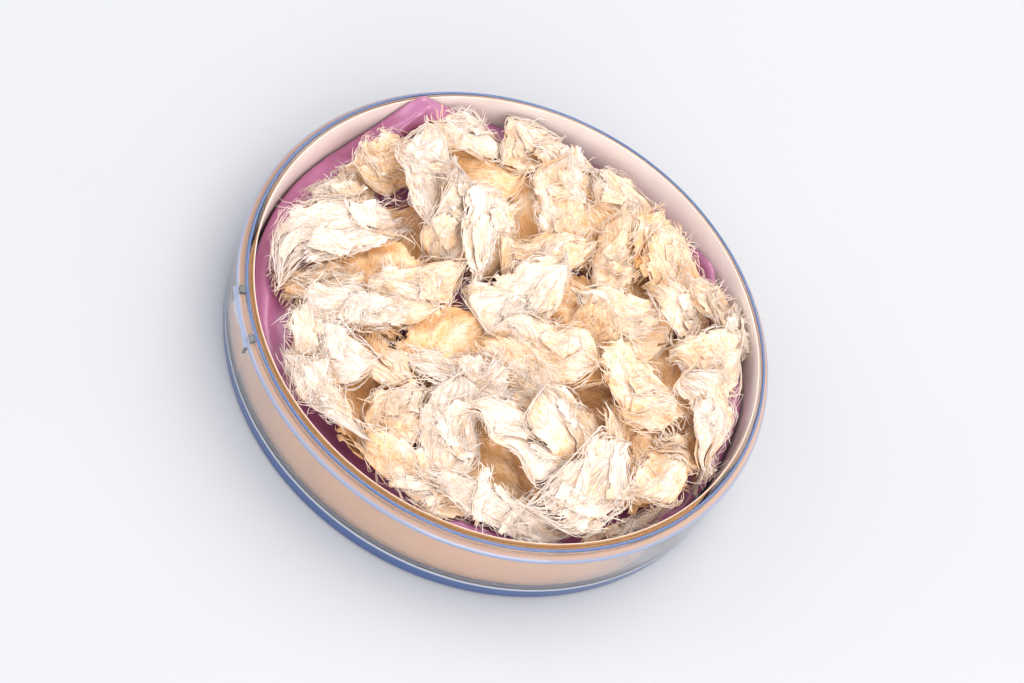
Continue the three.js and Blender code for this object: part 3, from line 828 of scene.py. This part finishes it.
# %% What sets the shreds apart
LOWER = 13
FRAYED = {16: 0.75, 52: 0.6, 35: 0.5, 39: 0.45, 48: 0.5, 15: 0.45, 45: 0.35, 41: 0.35, 56: 0.4,
          19: 0.4, 43: 0.35}
COMBED = (16, 20, 21, 39, 46, 48, 52)
TONE = {16: 0.04, 52: 0.04, 39: 0.06, 46: 0.08, 47: 0.08, 48: 0.06, 41: 0.1, 43: 0.14, 42: 0.16,
        21: 0.16, 22: 0.1, 20: 0.16, 31: 0.12, 55: 0.14, 57: 0.14, 17: 0.38, 36: 0.62, 38: 0.38,
        50: 0.38, 53: 0.4, 27: 0.38, 28: 0.42, 29: 0.4, 32: 0.32, 44: 0.32, 45: 0.26}
ENDS_AT = {14: 0.7, 15: 1.0, 16: 1.04, 41: 0.85, 42: 0.75, 43: 0.95, 51: 1.0, 52: 1.04}
STRAY_HAIRED = 35
print(len(FRAYED), "shreds are frayed and", len(COMBED), "combed")

# %% [markdown]
# Now every shred is put together: an outer sheet, an inner sheet under it that is made more golden
# as painted shade, its strands, the hairs at its end, the loops along its sides, and a few torn
# flaps that lift from its face. The shreds at the bottom of the heap are hardly seen and get fewer
# of each.

# %% The heap of shreds
FINE_CELL, COARSE_CELL, DEEP_RISE = (1.3, 1.0), (2.1, 1.7), 1.5
faces_in_all = 0
for number, name in enumerate(shred_names, 1):
    lie = lies[name]
    chance = np.random.default_rng(900 + number)
    seed = 31.7 * number
    deep, short = number <= LOWER, number in ENDS_AT
    fray = FRAYED.get(number, chance.uniform(0.1, 0.22))
    # The shred's tone; the lowest shreds get more gold as painted shade.
    golden_tone_and_shade = TONE.get(number, 0.42 if deep else chance.uniform(0.2, 0.36))
    pale = golden_tone_and_shade - 0.2
    half = 0.4 * lie.thick
    rest = half + DEEP_RISE * MM if deep else half
    side = 1.0 if short else 1.3 if deep else 1.2
    span = (-1.0, ENDS_AT[number]) if short else (-1.1, 1.14)
    form = bmesh.new()
    form.verts.layers.float.new("golden_tone_and_shade")
    form.loops.layers.uv.new("strand")
    outer = Patch(lie, seed, rest, span, (-side, side), curl=chance.uniform(-0.8, 0.6))
    inner = Patch(lie, seed, -half, span, (-side, side), curl=chance.uniform(-0.5, 0.5))
    torn_sheet(form, outer, golden_tone_and_shade, FINE_CELL, fray, 1.35 if deep else 1.15)
    # The inner sheet lies under the outer one and is made more golden as painted shade.
    torn_sheet(form, inner, golden_tone_and_shade + 0.15, COARSE_CELL, fray, 1.4, 5)
    strands(form, outer, chance, 120 if deep else 190, pale)
    if number in COMBED:
        strands(form, outer, chance, 130, pale - 0.1, (-1.0, 0.6), (6, 14), 0.12)
    strands(form, outer, chance, int(10 + 60 * fray), pale, (0.1, 0.7), (4, 8), 0.2,
            over=(0.0, 0.3 + 5 * fray), thick=(0.05, 0.1))
    strands(form, outer, chance, 10 if deep else 24, pale, (-1.0, 0.8), (2, 5), 0.2,
            bow=(0.3, 1.4), thick=(0.06, 0.12), lanes=(0.85, 1.0))
    for flap in range(1 if deep else 3):
        s0, t0 = chance.uniform(-0.9, 0.1), chance.uniform(-0.9, 0.1)
        lifted = Patch(lie, seed, half + chance.uniform(0.4, 1.4) * MM,
                       (s0, s0 + chance.uniform(0.6, 1.0)), (t0, t0 + chance.uniform(0.6, 1.0)),
                       chance.uniform(-1.5, 1.5), chance.uniform(-0.4, 1.8))
        torn_sheet(form, lifted, golden_tone_and_shade - 0.05, FINE_CELL, 0.35, 1.0, 50 + flap)
        strands(form, lifted, chance, 15 if deep else 36, pale, (-1.0, 0.7), over=(0, 0.6))
    if number == STRAY_HAIRED:
        stray = Patch(lie, seed, half, (-1.1, -0.2), (-0.9, 0.9), 2.58)
        strands(form, stray, chance, 40, pale, (-0.8, 0.4), (4, 8), 0.2, over=(3, 11),
                thick=(0.06, 0.11))
    faces_in_all += len(form.faces)
    finished(name + "_torn", form, nest_cement, name)
print("shreds have", faces_in_all, "faces in all")

# %% [markdown]
# The box stands on a plain pale floor, as on a photographer's table. It is only there to catch the
# soft shadow, so it is not put on the box's body and is not a part of the box.

# %% Floor
FLOOR_HALF, FLOOR_MOTTLE = 3, 250
# Matt painted board: pale grey, with a mottle so faint that it only keeps the tone from being dead.
pale_floor = new_finish("pale_floor")
floor_spot = add(pale_floor, "TexCoord").outputs["Object"]
mottle = add(pale_floor, "TexNoise", Vector=floor_spot, Scale=1 / (FLOOR_MOTTLE * MM), Detail=2.0)
floor_tone = add(pale_floor, "ValToRGB", stops=[(0.3, "b0b2b7"), (0.7, "b3b5ba")],
                 Fac=mottle.outputs["Fac"])
floor_skin = add(pale_floor, "BsdfPrincipled", Base_Color=floor_tone.outputs["Color"],
                 Roughness=0.8, Specular_IOR_Level=0.2)
add(pale_floor, "OutputMaterial", Surface=floor_skin.outputs[0])
floor_form = bmesh.new()
bmesh.ops.create_grid(floor_form, x_segments=1, y_segments=1, size=FLOOR_HALF)
floor = held_mesh("floor", floor_form)
floor.data.materials.append(pale_floor)
print("floor is", 2 * FLOOR_HALF, "metres wide")

# %% [markdown]
# The photograph has soft light from all sides and hardly a shadow. A bright plain room gives most
# of it, and three wide lamps add a little shape: one from the back, one low at the left that grazes
# the wall, and one from the front.

# %% Light
LAMPS = [  # name, place and size in metres, power in watts, colour
    ("key", (0.25, 0.6, 1.0), 1.2, 12, "fffaf2"),
    ("side", (-0.95, -0.1, 0.45), 0.7, 3, "fbfcff"),
    ("fill", (0.5, -0.85, 0.75), 0.9, 12, "fffaf4"),
]
world = bpy.data.worlds.new("studio")
bpy.context.scene.world = world
world.use_nodes = True
room = world.node_tree.nodes["Background"]
room.inputs["Color"].default_value = paint("fbfbff")
room.inputs["Strength"].default_value = 1.05
for name, place, size, power, code in LAMPS:
    lamp = bpy.data.lights.new(name, "AREA")
    lamp.size, lamp.energy, lamp.color = size, power, paint(code)[:3]
    holder = bpy.data.objects.new(name, lamp)
    holder.location = place
    holder.rotation_euler = (-Vector(place)).to_track_quat("-Z", "Y").to_euler()
    bpy.context.scene.collection.objects.link(holder)
print("lamps:", [name for name, *_ in LAMPS])

# %% [markdown]
# In the photograph the box is propped at a slant. Here it lies flat, so the camera takes the slant
# instead: it looks in steeply from the front and is rolled to one side. Its place, aim and roll
# were fitted to the circles of the rim and the foot.

# %% Camera
EYE, AIM, ROLL = Vector((0, -287.37, 382.96)), Vector((4.249, -8.349, 20)), 30.5902
SENSOR, LENS = 36, 56.25
view = bpy.data.cameras.new("photo_view")
view.sensor_width, view.lens = SENSOR, LENS
camera = bpy.data.objects.new("photo_view", view)
looking = (AIM - EYE).to_track_quat("-Z", "Y").to_matrix().to_4x4()
rolled = looking @ Matrix.Rotation(math.radians(ROLL), 4, "Z")
camera.matrix_world = Matrix.Translation(EYE * MM) @ rolled
bpy.context.scene.collection.objects.link(camera)
bpy.context.scene.camera = camera
bpy.context.scene.view_settings.view_transform = "Standard"
# Light is caught inside clear plastic and goes round many times before it comes out.
bpy.context.scene.cycles.max_bounces = 24
bpy.context.scene.cycles.glossy_bounces = 16
bpy.context.scene.cycles.transmission_bounces = 24
print("camera is", round((AIM - EYE).length), "millimetres from the heap")
